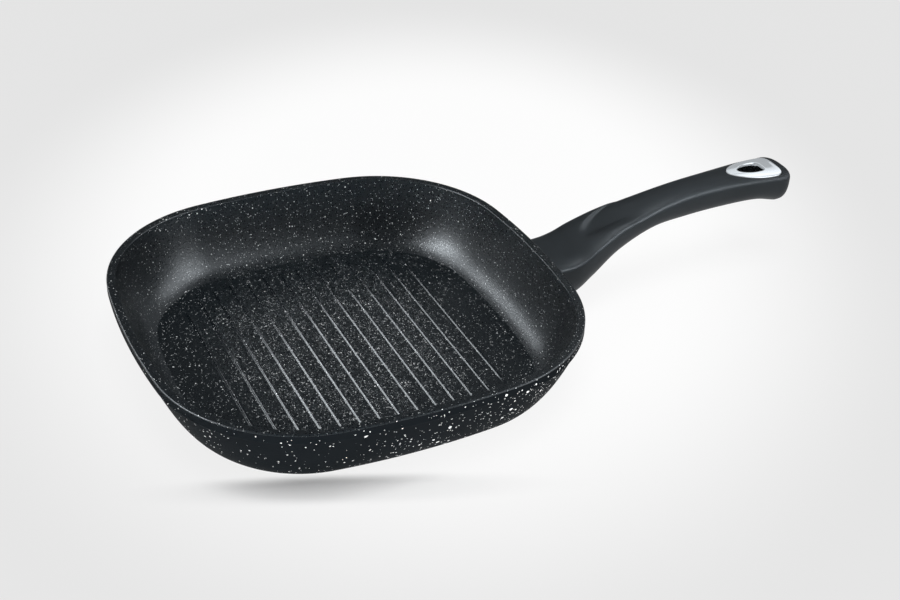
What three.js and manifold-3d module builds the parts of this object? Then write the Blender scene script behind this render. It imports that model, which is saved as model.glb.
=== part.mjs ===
// Square grill pan: a cast bowl with a ribbed floor and a lug on its wall, a punched steel disc let into
// its base, and a moulded handle that sits over the lug and is held by one screw from below.
// Millimetres, +Z up, +X along the handle. The origin is the centre of the face the pan stands on.
import * as THREE from 'three';
import { mergeVertices } from 'three/addons/utils/BufferGeometryUtils.js';
import Module from 'manifold-3d';

const wasm = await Module();
wasm.setup();

// Plan of the bowl: four bowed sides joined by round corners
const HALF_WIDTH = 130; // centre to the middle of a side, outside the rim
const SIDE_RADIUS = 458; // bow of a side
const CORNER_RADIUS = 87;
const SIDE_STEPS = 4; // facets along a side
const CORNER_STEPS = 12; // facets round a corner

// Bowl in section
const HEIGHT = 47.5; // rim above the resting face
const RIM_LAND = 5.3; // flat top of the rim
const RIM_BAND = 5.4; // upright band below it
const RIM_EDGE = 0.8; // round on the edges of the rim
const RIM_EDGE_STEPS = 3;
const WALL_STEP = 1.2; // wall set back under the band
const BASE_INSET = 32; // flat base, in from the rim
const WALL_SWEEP = 2.1; // power of the outer wall's curve
const FLOOR_INSET = 26.5; // flat floor, in from the rim
const CAVITY_FOOT = 0.62; // slope at which the inner wall meets the floor
const CAVITY_SWEEP = 2.5; // power of the curve that is added to that slope
const FLOOR_THICKNESS = 4.5;
const WALL_RINGS = 10;

// Grill ribs, cast across the floor
const RIB_COUNT = 14;
const RIB_PITCH = 11.5;
const RIB_SHIFT = -3.3; // the set sits a little away from the handle
const RIB_WIDTH = 3.2;
const RIB_HEIGHT = 1;
const RIB_MARGIN = 22; // from the far end of a rib to the edge of the floor
const RIB_MARGIN_NEAR = 14; // the same at the near end
const RIB_NOSE = 4; // length over which an end dies into the floor
const RIB_NOSE_STEPS = 3;
const RIB_END = 0.4; // share of the width that is left where an end meets the floor
const RIB_STEPS = 6; // facets over a rib
const RIB_POWER = 2; // drawn in towards the top
const RIB_ROOT = 1; // sunk into the floor
const RIB_ROOT_WIDTH = 1.7;

// Steel disc in the base
const DISC_RADIUS = 86;
const DISC_THICKNESS = 0.9;
const DISC_PROUD = 0.3; // stands below the cast base, so the pan rests on it
const DISC_FIT = 0.3; // clearance round the disc
const PUNCH_RADIUS = 3;
const PUNCH_RINGS = 4;
const PUNCH_MARGIN = 10; // outermost ring of holes in from the edge
const PUNCH_PITCH = 16; // between rings, and between the holes of a ring
const PUNCH_STEPS = 8;
const DISC_STEPS = 64;

// Lug on the wall, and the screw that goes up into it
const LUG_REACH = 30; // tip of the lug beyond the rim
const LUG_DROP = 18; // centre of the lug below the rim
const LUG_WIDTH = 24;
const LUG_HEIGHT = 11.5;
const LUG_TAPER = 0.84; // size near the tip over that of the root
const LUG_NOSE = 2; // length of the drawn-in tip
const LUG_NOSE_TAPER = 0.74;
const LUG_SQUARE = 0.45; // power that squares the section
const LUG_POINTS = 20;
const LUG_FIT = 0.3; // clearance of the handle's socket
const SCREW_REACH = 17; // screw axis beyond the rim
const SCREW_DIAMETER = 5;
const SCREW_BITE = 7.5; // length of screw inside the lug
const SCREW_PLAY = 0.25; // clearance round the shank
const SCREW_RUNOUT = 1; // hole beyond the tip of the screw
const SCREW_CHAMFER = 0.8; // on the head and the tip
const SCREW_HEAD = 9; // diameter of the head
const SCREW_HEAD_HEIGHT = 3.2;
const SCREW_SLOT = 1.3; // width of the cross recess
const SCREW_CROSS = 5; // length of its arms
const BORE_STEPS = 24;
const SEAT_THICKNESS = 3.4; // handle left between the lug and the washer
const COUNTERBORE_PLAY = 0.7; // clearance round the head
const WASHER_THICKNESS = 1.2;
const WASHER_SPLIT = 0.35; // angle of the gap in the lock washer
const WASHER_STEPS = 12;

// Handle: stations along it, as reach beyond the rim, half width, top and underside above the rim, and the
// power of the superellipse above the shoulder, high where the edge is crisp and low where it is round
const STATIONS = [
  [-30, 21, -6.5, -39, 3.8],
  [5, 21.6, -6.6, -37.5, 3.8],
  [20, 21.9, -4.6, -35.5, 3.8],
  [33, 20.3, 1.7, -26.5, 3.7],
  [52, 16.9, 9.8, -12, 3.4],
  [78, 13.4, 16.8, -1.6, 2.8],
  [104, 12.2, 21.2, 1, 2.5],
  [130, 12.8, 23.2, 2.6, 2.5],
  [156, 14.9, 23.6, 3.2, 2.8],
  [173, 16, 23, -0.5, 3],
];
const STATION_STEPS = 4; // sections between two stations
const SECTION_POINTS = 36; // points round a section
const SHOULDER = 5.5; // widest line of the section below its top
const UNDER_POWER = 2.5; // superellipse below the shoulder
const END_LENGTH = 9.8; // rounded end beyond the last station
const END_STEPS = 6;
const END_FLAT = 0.15; // part of a step that is left flat at the tip
const END_PLAN_POWER = 2.6;
const END_SIDE_POWER = 3.6;
const HANDLE_GAP = 0.3; // between the handle's front and the wall

// Thumb rest: a shallow scoop in the top, stepped at the front and running out to the rear
const THUMB_REACH = 35;
const THUMB_BEND = 28; // how far its front edge trails back at the sides
const THUMB_DEPTH = 1.8;
const THUMB_RAMP = 7;
const THUMB_RUN = 70;

// Hang hole and its bright lining, measured back from the end of the handle
const TRIM_TAIL = 7; // bare handle behind the lining
const TRIM_LENGTH = 37.5;
const TRIM_WIDTH = 26;
const TRIM_BROAD = 10; // widest part, ahead of the lining's rear edge
const TRIM_PROUD = 0.3;
const TRIM_DEPTH = 2;
const TRIM_FIT = 0.3;
const HOLE_TAIL = 18; // rear edge of the hole from the end of the handle
const HOLE_LENGTH = 17.5;
const HOLE_WIDTH = 10.5;
const HOLE_BROAD = 7;
const HOLE_FLARE = 1; // the lining opens out by this much at the top
const FLARE_DEPTH = 4;
const SLEEVE_WALL = 1.3;
const SLEEVE_LENGTH = 5.5; // collar round the mouth of the hole; below it the hole is bare handle
const SHIELD_NOSE = 1.8; // power of the front of the lining and the hole
const SHIELD_REAR = 3.6; // power of their squarer rear
const SHIELD_POINTS = 32;

const OVERCUT = 10; // length by which a cut passes what it cuts

const BASE_Z = DISC_PROUD;
const FLOOR_Z = BASE_Z + FLOOR_THICKNESS;
const LUG_Z = HEIGHT - LUG_DROP;

// A closed body from rings of points, each ring anticlockwise about the direction in which they follow on.
function loft(rings) {
  const count = rings[0].length;
  const positions = rings.flat().flatMap((p) => [p.x, p.y, p.z]);
  const faces = [];
  for (let k = 0; k + 1 < rings.length; k++) {
    for (let i = 0; i < count; i++) {
      const a = k * count + i;
      const b = k * count + ((i + 1) % count);
      faces.push(a, b, b + count, a, b + count, a + count);
    }
  }
  for (const ring of [rings[0], rings[rings.length - 1]]) {
    const hub = positions.length / 3;
    const first = ring === rings[0] ? 0 : (rings.length - 1) * count;
    const middle = ring.reduce((sum, p) => sum.add(p), new THREE.Vector3()).divideScalar(count);
    positions.push(middle.x, middle.y, middle.z);
    for (let i = 0; i < count; i++) {
      const a = first + i;
      const b = first + ((i + 1) % count);
      faces.push(hub, first ? a : b, first ? b : a);
    }
  }
  const geometry = new THREE.BufferGeometry();
  geometry.setAttribute('position', new THREE.Float32BufferAttribute(positions, 3));
  geometry.setIndex(faces);
  return geometry;
}

function solid(geometry) {
  const bare = geometry.clone();
  bare.deleteAttribute('normal');
  bare.deleteAttribute('uv');
  const merged = mergeVertices(bare, 1e-4);
  return new wasm.Manifold(
    new wasm.Mesh({
      numProp: 3,
      vertProperties: new Float32Array(merged.attributes.position.array),
      triVerts: new Uint32Array(merged.index.array),
    }),
  );
}

function surface(body) {
  const { vertProperties, triVerts } = body.getMesh();
  const geometry = new THREE.BufferGeometry();
  geometry.setAttribute('position', new THREE.BufferAttribute(vertProperties, 3));
  geometry.setIndex(new THREE.BufferAttribute(triVerts, 1));
  geometry.computeVertexNormals();
  return geometry;
}

// An outline carried straight up from one height to another.
function prism(outline, from, to) {
  const geometry = new THREE.ExtrudeGeometry(new THREE.Shape(outline), {
    depth: to - from,
    bevelEnabled: false,
  });
  return geometry.translate(0, 0, from);
}

function circle(radius, steps) {
  return Array.from({ length: steps }, (_, i) => {
    const angle = (2 * Math.PI * i) / steps;
    return new THREE.Vector2(radius * Math.cos(angle), radius * Math.sin(angle));
  });
}

function bore(radius, from, to, x) {
  return solid(prism(circle(radius, BORE_STEPS), from, to).translate(x, 0, 0));
}

// Corner centres lie on the diagonals, where a corner arc touches both side arcs.
const sideCentre = HALF_WIDTH - SIDE_RADIUS;
const arcGap = SIDE_RADIUS - CORNER_RADIUS;
const cornerCentre = (sideCentre + Math.sqrt(2 * arcGap ** 2 - sideCentre ** 2)) / 2;
const turn = Math.atan2(cornerCentre, cornerCentre - sideCentre);

// Points on the rim outline with their outward directions: a side, a corner, and so on round.
function rimOutline() {
  const quarter = [];
  for (let i = 0; i < SIDE_STEPS; i++) {
    const angle = turn * ((2 * i) / SIDE_STEPS - 1);
    quarter.push({ x: sideCentre, y: 0, radius: SIDE_RADIUS, angle });
  }
  for (let i = 0; i < CORNER_STEPS; i++) {
    const angle = turn + ((Math.PI / 2 - 2 * turn) * i) / CORNER_STEPS;
    quarter.push({ x: cornerCentre, y: cornerCentre, radius: CORNER_RADIUS, angle });
  }
  const points = [];
  for (let side = 0; side < 4; side++) {
    for (const { x, y, radius, angle } of quarter) {
      const out = new THREE.Vector2(Math.cos(angle), Math.sin(angle));
      const at = new THREE.Vector2(x, y).addScaledVector(out, radius);
      const origin = new THREE.Vector2();
      points.push({
        at: at.rotateAround(origin, (side * Math.PI) / 2),
        out: out.rotateAround(origin, (side * Math.PI) / 2),
      });
    }
  }
  return points;
}
const rim = rimOutline();

// A parallel curve inside the rim at a height, and a section of such insets carried round.
function ringAt(inset, z) {
  return rim.map(({ at, out }) => new THREE.Vector3(at.x - inset * out.x, at.y - inset * out.y, z));
}

// Half chord of that parallel curve across the pan at x.
function reachAcross(inset, x) {
  const offset = Math.abs(x) - cornerCentre;
  const radius = CORNER_RADIUS - inset;
  if (Math.abs(x) < (SIDE_RADIUS - inset) * Math.sin(turn)) {
    return sideCentre + Math.sqrt((SIDE_RADIUS - inset) ** 2 - x ** 2);
  }
  return cornerCentre + Math.sqrt(Math.max(radius ** 2 - offset ** 2, 0));
}

function quarterRound(radius, steps) {
  return Array.from({ length: steps + 1 }, (_, i) => {
    const angle = ((Math.PI / 2) * i) / steps;
    return [radius * (1 - Math.cos(angle)), radius * (1 - Math.sin(angle))];
  });
}

// Outside of the bowl as a full body, grown where a neighbour has to clear it.
function envelope(grow) {
  const wallTop = HEIGHT - RIM_BAND - WALL_STEP;
  const rings = [];
  for (let i = WALL_RINGS; i >= 0; i--) {
    const u = i / WALL_RINGS;
    const inset = WALL_STEP + (BASE_INSET - WALL_STEP) * u;
    const z = BASE_Z + (wallTop - BASE_Z) * (1 - u) ** WALL_SWEEP;
    rings.push(ringAt(inset - grow, i === WALL_RINGS ? z - grow : z));
  }
  rings.push(ringAt(-grow, HEIGHT - RIM_BAND));
  for (const [inset, drop] of quarterRound(RIM_EDGE, RIM_EDGE_STEPS)) {
    rings.push(ringAt(inset - grow, HEIGHT - drop));
  }
  return solid(loft(rings));
}

// Space inside the bowl, from the floor up and out over the inner edge of the rim.
function cavity() {
  const width = FLOOR_INSET - RIM_LAND;
  const rise = HEIGHT - RIM_EDGE - FLOOR_Z;
  const straight = (CAVITY_FOOT * width) / rise;
  const rings = [];
  for (let i = 0; i <= WALL_RINGS; i++) {
    const u = i / WALL_RINGS;
    const lift = straight * u + (1 - straight) * u ** CAVITY_SWEEP;
    rings.push(ringAt(FLOOR_INSET - width * u, FLOOR_Z + rise * lift));
  }
  for (const [inset, drop] of quarterRound(RIM_EDGE, RIM_EDGE_STEPS).slice(1)) {
    rings.push(ringAt(RIM_LAND - inset, HEIGHT - drop));
  }
  rings.push(ringAt(RIM_LAND - RIM_EDGE, HEIGHT + OVERCUT));
  return solid(loft(rings));
}

// One rib: a rounded ridge along Y, its ends sinking into the floor.
function rib(x) {
  const rings = [];
  for (const [end, margin] of [
    [-1, RIB_MARGIN_NEAR],
    [1, RIB_MARGIN],
  ]) {
    const half = reachAcross(FLOOR_INSET + margin, x);
    for (let k = 0; k <= RIB_NOSE_STEPS; k++) {
      const back = end < 0 ? k / RIB_NOSE_STEPS : 1 - k / RIB_NOSE_STEPS;
      const size = Math.sqrt(1 - (1 - back) ** 2);
      rings.push(ribSection(x, end * (half - RIB_NOSE * back), size));
    }
  }
  return solid(loft(rings));
}

function ribSection(x, y, size) {
  const ring = [];
  for (let i = 0; i <= RIB_STEPS; i++) {
    const angle = (Math.PI * i) / RIB_STEPS;
    const across = (RIB_WIDTH / 2) * Math.cos(angle) * (RIB_END + (1 - RIB_END) * size);
    const up = RIB_HEIGHT * Math.sin(angle) ** RIB_POWER * size;
    ring.push(new THREE.Vector3(x - across, y, FLOOR_Z + up));
  }
  ring.push(new THREE.Vector3(x + RIB_ROOT_WIDTH / 2, y, FLOOR_Z - RIB_ROOT));
  ring.push(new THREE.Vector3(x - RIB_ROOT_WIDTH / 2, y, FLOOR_Z - RIB_ROOT));
  return ring;
}

// Rounded-rectangle bar along +X out of the wall, smaller at its tip; grown, it makes the handle's socket.
function lug(grow) {
  const root = HALF_WIDTH - BASE_INSET;
  const tip = HALF_WIDTH + LUG_REACH;
  const rings = [];
  for (const [x, size] of [
    [root, 1],
    [HALF_WIDTH, 1],
    [tip - LUG_NOSE + grow, LUG_TAPER],
    [tip + grow, LUG_NOSE_TAPER],
  ]) {
    const ring = [];
    for (let i = 0; i < LUG_POINTS; i++) {
      const angle = (2 * Math.PI * i) / LUG_POINTS;
      const c = Math.cos(angle);
      const s = Math.sin(angle);
      const y = Math.sign(c) * ((LUG_WIDTH / 2) * size * Math.abs(c) ** LUG_SQUARE + grow);
      const z = Math.sign(s) * ((LUG_HEIGHT / 2) * size * Math.abs(s) ** LUG_SQUARE + grow);
      ring.push(new THREE.Vector3(x, y, LUG_Z + z));
    }
    rings.push(ring);
  }
  return solid(loft(rings));
}

// Handle body, grown or shrunk all round for the seat of the lining.
const stationCurves = [1, 2, 3, 4].map(
  (column) =>
    new THREE.CatmullRomCurve3(
      STATIONS.map((row) => new THREE.Vector3(row[0], row[column], 0)),
      false,
      'catmullrom',
      0.5,
    ),
);
const handleEnd = HALF_WIDTH + STATIONS[STATIONS.length - 1][0] + END_LENGTH;

function smooth(value) {
  return THREE.MathUtils.smoothstep(value, 0, 1);
}

function thumbDrop(reach, across) {
  const front = THUMB_REACH + THUMB_BEND * across ** 2;
  const step = smooth((reach - front) / THUMB_RAMP);
  const fade = 1 - smooth((reach - THUMB_REACH - THUMB_RAMP) / THUMB_RUN);
  return THUMB_DEPTH * step * fade;
}

function handleSection([reach, half, top, under, topPower], grow, plan, side) {
  const shoulder = top - SHOULDER;
  const ring = [];
  for (let i = 0; i < SECTION_POINTS; i++) {
    const angle = (2 * Math.PI * i) / SECTION_POINTS;
    const c = Math.cos(angle);
    const s = Math.sin(angle);
    const power = 2 / (s > 0 ? topPower : UNDER_POWER);
    const across = Math.sign(c) * Math.abs(c) ** power;
    const up = Math.abs(s) ** power;
    const rise = s > 0 ? SHOULDER + grow - thumbDrop(reach, across) : shoulder - under + grow;
    ring.push(
      new THREE.Vector3(
        HALF_WIDTH + reach,
        across * (half + grow) * plan,
        HEIGHT + shoulder + Math.sign(s) * up * rise * side,
      ),
    );
  }
  return ring;
}

function handleBody(grow) {
  const rings = [];
  const spans = (STATIONS.length - 1) * STATION_STEPS;
  for (let i = 0; i <= spans; i++) {
    const reach = stationCurves[0].getPoint(i / spans).x;
    const sizes = stationCurves.map((curve) => curve.getPoint(i / spans).y);
    rings.push(handleSection([reach, ...sizes], grow, 1, 1));
  }
  const [last, ...sizes] = STATIONS[STATIONS.length - 1];
  for (let i = 1; i <= END_STEPS; i++) {
    const along = Math.sin((Math.PI / 2) * (i / (END_STEPS + END_FLAT)));
    const plan = (1 - along ** END_PLAN_POWER) ** (1 / END_PLAN_POWER);
    const side = (1 - along ** END_SIDE_POWER) ** (1 / END_SIDE_POWER);
    rings.push(handleSection([last + (END_LENGTH + grow) * along, ...sizes], grow, plan, side));
  }
  return solid(loft(rings));
}

// Shield outline of the lining and the hang hole: drawn out towards the pan, squarer at the rear.
function shield(tail, length, width, broad, grow) {
  const middle = handleEnd - tail - broad;
  const points = [];
  for (let i = 0; i < SHIELD_POINTS; i++) {
    const angle = (2 * Math.PI * i) / SHIELD_POINTS;
    const c = Math.cos(angle);
    const s = Math.sin(angle);
    const power = 2 / (c > 0 ? SHIELD_REAR : SHIELD_NOSE);
    const along = (c > 0 ? broad : length - broad) + grow;
    points.push(
      new THREE.Vector2(
        middle + Math.sign(c) * Math.abs(c) ** power * along,
        Math.sign(s) * Math.abs(s) ** power * (width / 2 + grow),
      ),
    );
  }
  return points;
}

function trimOutline(grow) {
  return shield(TRIM_TAIL, TRIM_LENGTH, TRIM_WIDTH, TRIM_BROAD, grow);
}

function holeOutline(grow) {
  return shield(HOLE_TAIL, HOLE_LENGTH, HOLE_WIDTH, HOLE_BROAD, grow);
}

// Heights that clear the handle above and below.
const above = HEIGHT + Math.max(...STATIONS.map((row) => row[2])) + OVERCUT;
const below = -OVERCUT;
const trimTop = HEIGHT + STATIONS[STATIONS.length - 2][2];
const trimMiddle = trimTop - SHOULDER - TRIM_DEPTH;
const sleeveFoot = trimTop - SLEEVE_LENGTH;
const seatZ = LUG_Z - LUG_HEIGHT / 2 - LUG_FIT - SEAT_THICKNESS;
const screwX = HALF_WIDTH + SCREW_REACH;
const screwTip = LUG_Z - LUG_HEIGHT / 2 + SCREW_BITE;

function castBowl() {
  let body = envelope(0).add(lug(0)).subtract(cavity());
  for (let i = 0; i < RIB_COUNT; i++) {
    body = body.add(rib(RIB_SHIFT + RIB_PITCH * (i - (RIB_COUNT - 1) / 2)));
  }
  const recess = prism(circle(DISC_RADIUS + DISC_FIT, DISC_STEPS), below, DISC_THICKNESS);
  const tapped = bore(SCREW_DIAMETER / 2 + SCREW_PLAY, below, screwTip + SCREW_RUNOUT, screwX);
  return body.subtract(solid(recess)).subtract(tapped);
}

function baseDisc() {
  const shape = new THREE.Shape(circle(DISC_RADIUS, DISC_STEPS));
  for (let ring = 0; ring < PUNCH_RINGS; ring++) {
    const radius = DISC_RADIUS - PUNCH_MARGIN - PUNCH_PITCH * ring;
    const count = Math.round((2 * Math.PI * radius) / PUNCH_PITCH);
    for (let i = 0; i < count; i++) {
      const angle = (2 * Math.PI * i) / count;
      const centre = new THREE.Vector2(radius * Math.cos(angle), radius * Math.sin(angle));
      shape.holes.push(new THREE.Path(circle(PUNCH_RADIUS, PUNCH_STEPS).map((p) => p.add(centre))));
    }
  }
  return new THREE.ExtrudeGeometry(shape, { depth: DISC_THICKNESS, bevelEnabled: false });
}

function handleGrip() {
  const seat = solid(prism(trimOutline(TRIM_FIT), trimMiddle, above)).subtract(handleBody(-TRIM_DEPTH));
  return handleBody(0)
    .subtract(envelope(HANDLE_GAP))
    .subtract(lug(LUG_FIT))
    .subtract(seat)
    .subtract(solid(prism(holeOutline(SLEEVE_WALL + TRIM_FIT), sleeveFoot - TRIM_FIT, above)))
    .subtract(solid(prism(holeOutline(0), below, above)))
    .subtract(bore(SCREW_DIAMETER / 2 + SCREW_PLAY, below, LUG_Z, screwX))
    .subtract(bore(SCREW_HEAD / 2 + COUNTERBORE_PLAY, below, seatZ, screwX));
}

function hangTrim() {
  const cover = solid(prism(trimOutline(0), trimMiddle, above));
  const face = cover.intersect(handleBody(TRIM_PROUD)).subtract(handleBody(-TRIM_DEPTH));
  const sleeve = solid(prism(holeOutline(SLEEVE_WALL), sleeveFoot, above)).intersect(handleBody(0));
  const mouth = [holeOutline(0), holeOutline(HOLE_FLARE)].map((outline, i) =>
    outline.map((p) => new THREE.Vector3(p.x, p.y, trimTop + (i ? TRIM_PROUD : -FLARE_DEPTH))),
  );
  return face
    .add(sleeve)
    .subtract(solid(prism(holeOutline(0), below, above)))
    .subtract(solid(loft(mouth)));
}

function headScrew() {
  const head = seatZ - WASHER_THICKNESS;
  const low = head - SCREW_HEAD_HEIGHT;
  const profile = [
    [0, low],
    [SCREW_HEAD / 2 - SCREW_CHAMFER, low],
    [SCREW_HEAD / 2, low + SCREW_CHAMFER],
    [SCREW_HEAD / 2, head],
    [SCREW_DIAMETER / 2, head],
    [SCREW_DIAMETER / 2, screwTip - SCREW_CHAMFER],
    [SCREW_DIAMETER / 2 - SCREW_CHAMFER, screwTip],
    [0, screwTip],
  ];
  const points = profile.map(([r, z]) => new THREE.Vector2(r, z));
  const turned = new THREE.LatheGeometry(points, BORE_STEPS).rotateX(Math.PI / 2).translate(screwX, 0, 0);
  const arm = new THREE.BoxGeometry(SCREW_CROSS, SCREW_SLOT, SCREW_HEAD_HEIGHT);
  const cross = solid(arm).add(solid(arm.clone().rotateZ(Math.PI / 2)));
  return solid(turned).subtract(cross.translate([screwX, 0, low]));
}

function lockWasher() {
  const inner = SCREW_DIAMETER / 2 + SCREW_PLAY;
  const outer = SCREW_HEAD / 2;
  const shape = new THREE.Shape();
  shape.absarc(0, 0, outer, WASHER_SPLIT / 2, 2 * Math.PI - WASHER_SPLIT / 2, false);
  shape.absarc(0, 0, inner, 2 * Math.PI - WASHER_SPLIT / 2, WASHER_SPLIT / 2, true);
  const ring = new THREE.ExtrudeGeometry(shape, {
    depth: WASHER_THICKNESS,
    bevelEnabled: false,
    curveSegments: WASHER_STEPS,
  });
  return ring.translate(screwX, 0, seatZ - WASHER_THICKNESS);
}

const coating = { color: 0x24282b, roughness: 0.42, metalness: 0.1 };
const steel = { color: 0xb4b6b8, roughness: 0.35, metalness: 1 };
const softTouch = { color: 0x26292b, roughness: 0.55, metalness: 0 };
const chrome = { color: 0xe6e8ea, roughness: 0.06, metalness: 1 };
const zinc = { color: 0x9a9da1, roughness: 0.4, metalness: 1 };

function piece(name, geometry, look) {
  const mesh = new THREE.Mesh(geometry, new THREE.MeshStandardMaterial(look));
  mesh.name = name;
  return mesh;
}

const pan = new THREE.Group();
pan.name = 'grill_pan';
pan.add(piece('pan_body', surface(castBowl()), coating));
pan.add(piece('induction_disc', surface(solid(baseDisc())), steel));
pan.add(piece('handle_grip', surface(handleGrip()), softTouch));
pan.add(piece('hang_trim', surface(hangTrim()), chrome));
pan.add(piece('handle_screw', surface(headScrew()), zinc));
pan.add(piece('lock_washer', surface(solid(lockWasher())), zinc));

export default pan;
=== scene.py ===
# Square grill pan: a stone-flecked cast bowl with a ribbed floor, a punched steel disc in its base, and a
# soft-touch handle with a bright-lined hang hole. Sizes are millimetres, and meshes are made in metres.
import math

import bpy
import numpy as np
from mathutils import Matrix, Vector


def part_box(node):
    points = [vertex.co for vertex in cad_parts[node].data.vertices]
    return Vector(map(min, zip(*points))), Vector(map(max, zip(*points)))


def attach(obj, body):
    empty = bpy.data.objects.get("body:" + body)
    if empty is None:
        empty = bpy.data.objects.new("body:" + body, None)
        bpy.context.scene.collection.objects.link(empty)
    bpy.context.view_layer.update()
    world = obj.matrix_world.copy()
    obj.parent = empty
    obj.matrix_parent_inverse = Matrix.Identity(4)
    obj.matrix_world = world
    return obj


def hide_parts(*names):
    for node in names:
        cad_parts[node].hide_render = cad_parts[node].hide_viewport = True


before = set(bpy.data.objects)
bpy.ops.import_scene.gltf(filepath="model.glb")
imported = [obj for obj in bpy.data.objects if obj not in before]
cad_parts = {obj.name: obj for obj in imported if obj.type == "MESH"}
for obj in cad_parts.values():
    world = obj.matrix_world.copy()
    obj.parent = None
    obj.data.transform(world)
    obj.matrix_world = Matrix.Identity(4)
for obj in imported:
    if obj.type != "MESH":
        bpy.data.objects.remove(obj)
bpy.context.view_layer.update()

MM = 0.001
SMOOTH_UP_TO = 38  # degrees between faces that still shade as one


def edge_of(node, corner, axis):
    """One coordinate of a node's box at rest, in millimetres."""
    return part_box(node)[corner][axis] / MM


# Plan of the bowl: four bowed sides joined by round corners
HALF_WIDTH = edge_of("pan_body", 1, 1)
SIDE_RADIUS = 458
CORNER_RADIUS = 87
SIDE_STEPS = 28
CORNER_STEPS = 44

# Bowl in section
HEIGHT = edge_of("pan_body", 1, 2)
RIM_LAND = 5.3  # width of the rim's top
RIM_BAND = 5.4  # upright part below it
RIM_EDGE = 0.8
EDGE_STEPS = 6  # points of a rounded edge
EDGE_HOLD = 0.12  # rings close to a round, which keep the flat beside it flat
WALL_STEP = 1.2  # set-back of the wall under the band
BASE_INSET = 32
WALL_SWEEP = 2.1  # power of the outer wall's curve
FLOOR_INSET = 26.5
CAVITY_SWEEP = 2.5  # power of the inner wall's curve
CAVITY_FOOT = 0.62  # slope at which the wall meets the floor
BASE_Z = 0.3
FLOOR_Z = 4.8
WALL_ROWS = 48
RIM_FLECKING = 0.3  # share of the rib bed's flecks that the rim has
WALL_FLECKING = 0.3  # the same at the top of the inner wall
FOOT_FLECKING = 0.4  # at its foot and on the bare floor

# Grill ribs
RIB_COUNT = 14
RIB_PITCH = 11.5
RIB_SHIFT = -1.3  # of the whole bed, along the handle
RIB_TOP = 0.2  # half width of the top
RIB_FLANK = 1.15  # run of a sloping side
RIB_HEIGHT = 1
RIB_BEND = 10  # sharpness of the bends at the top and the foot
RIB_MARGIN = 9  # from the far ends to the wall's foot
RIB_MARGIN_NEAR = 14  # the same at the near ends
RIB_NOSE = 12  # length over which an end sinks into the floor
BED_MARGIN = 7  # flat floor kept between the bed of ribs and the wall
BED_COLUMNS = 32  # columns to a rib pitch
BED_CROWDING = 0.8  # how far they draw together at a rib
BED_FADE = 0.5  # share of the bed over which the flecks thin out to its border
BED_SQUARE = 4  # power of the superellipse along which they thin out
RIB_ROWS = 38  # rows of points along a rib
NOSE_ROWS = 8  # the same on the end of one
BORDER_ROWS = 3  # the same from there to the border of the bed

# Steel disc
DISC_RADIUS = edge_of("induction_disc", 1, 0)
DISC_THICKNESS = 0.9
DISC_FIT = 0.3
PUNCH_RADIUS = 3
PUNCH_RINGS = 4
PUNCH_MARGIN = 10  # from the disc's edge to the outer ring of holes
PUNCH_PITCH = 16
PUNCH_SIDES = 24
DISC_SIDES = 192
DISC_CHAMFER = 0.15
PUNCH_PAST = 1  # how far the punches reach past the faces
RECESS_ROOF = np.array([0.02, 0.35, 0.7, 1])  # rings of its recess, in shares of the radius
RECESS_MOUTH = np.array([1, 1.004])

# Handle stations: reach beyond the rim, half width, top and underside above the rim, and the power of the
# superellipse above the shoulder
STATIONS = np.array(
    [
        [-30, 21, -6.5, -39, 3.8],
        [5, 21.6, -6.6, -37.5, 3.8],
        [20, 21.9, -4.6, -35.5, 3.8],
        [33, 20.3, 1.7, -26.5, 3.7],
        [52, 16.9, 9.8, -12, 3.4],
        [78, 13.4, 16.8, -1.6, 2.8],
        [104, 12.2, 21.2, 1, 2.5],
        [130, 12.8, 23.2, 2.6, 2.5],
        [156, 14.9, 23.6, 3.2, 2.8],
        [173, 16, 23, -0.5, 3],
    ]
)
STATION_STEPS = 40
HANDLE_ROWS = 170
HANDLE_COLUMNS = 120
SHOULDER = 5.5  # depth of the shoulder below the top
UNDER_POWER = 2.5
END_ROWS = 26  # of the rounded end
END_PLAN_POWER = 2.6
END_SIDE_POWER = 3.6
HANDLE_GAP = 0.3  # to the bowl's wall
THUMB_REACH = 30
THUMB_BEND = 32  # how far the step trails back at the sides
THUMB_DEPTH = 1.8
THUMB_RAMP = 7  # length of the step
THUMB_SOFT = 3  # how much gentler the step is on its near side
SOFT_START = 0.12  # where it grows gentler, in shares of the half width
SOFT_RUN = 0.35
SOFT_END = 0.25  # the same from the shoulder
THUMB_RUN = 70  # length over which the rest runs out
WALL_PASSES = 6  # rounds in which the front end is laid on the bowl's wall

# Lug inside the handle, its screw and the bores for it
LUG_ROOT = 2  # sunk into the wall
LUG_TIP = edge_of("pan_body", 1, 0)
LUG_NOSE = 2
LUG_Z = HEIGHT - 18
LUG_WIDTH = 24
LUG_HEIGHT = 11.5
LUG_SIZES = np.array([1, 1, 0.84, 0.74])
LUG_SQUARE = 0.45
LUG_POINTS = 64
LUG_FIT = 0.3
SEAT_THICKNESS = 3.4
COUNTERBORE_PLAY = 0.7
SCREW_HEAD = edge_of("handle_screw", 1, 1) - edge_of("handle_screw", 0, 1)
SCREW_X = (edge_of("handle_screw", 0, 0) + edge_of("handle_screw", 1, 0)) / 2
SCREW_TIP = edge_of("handle_screw", 1, 2)
SCREW_SHANK = 5
SCREW_PLAY = 0.25
SCREW_RUNOUT = 1
BORE_SIDES = 64

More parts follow.
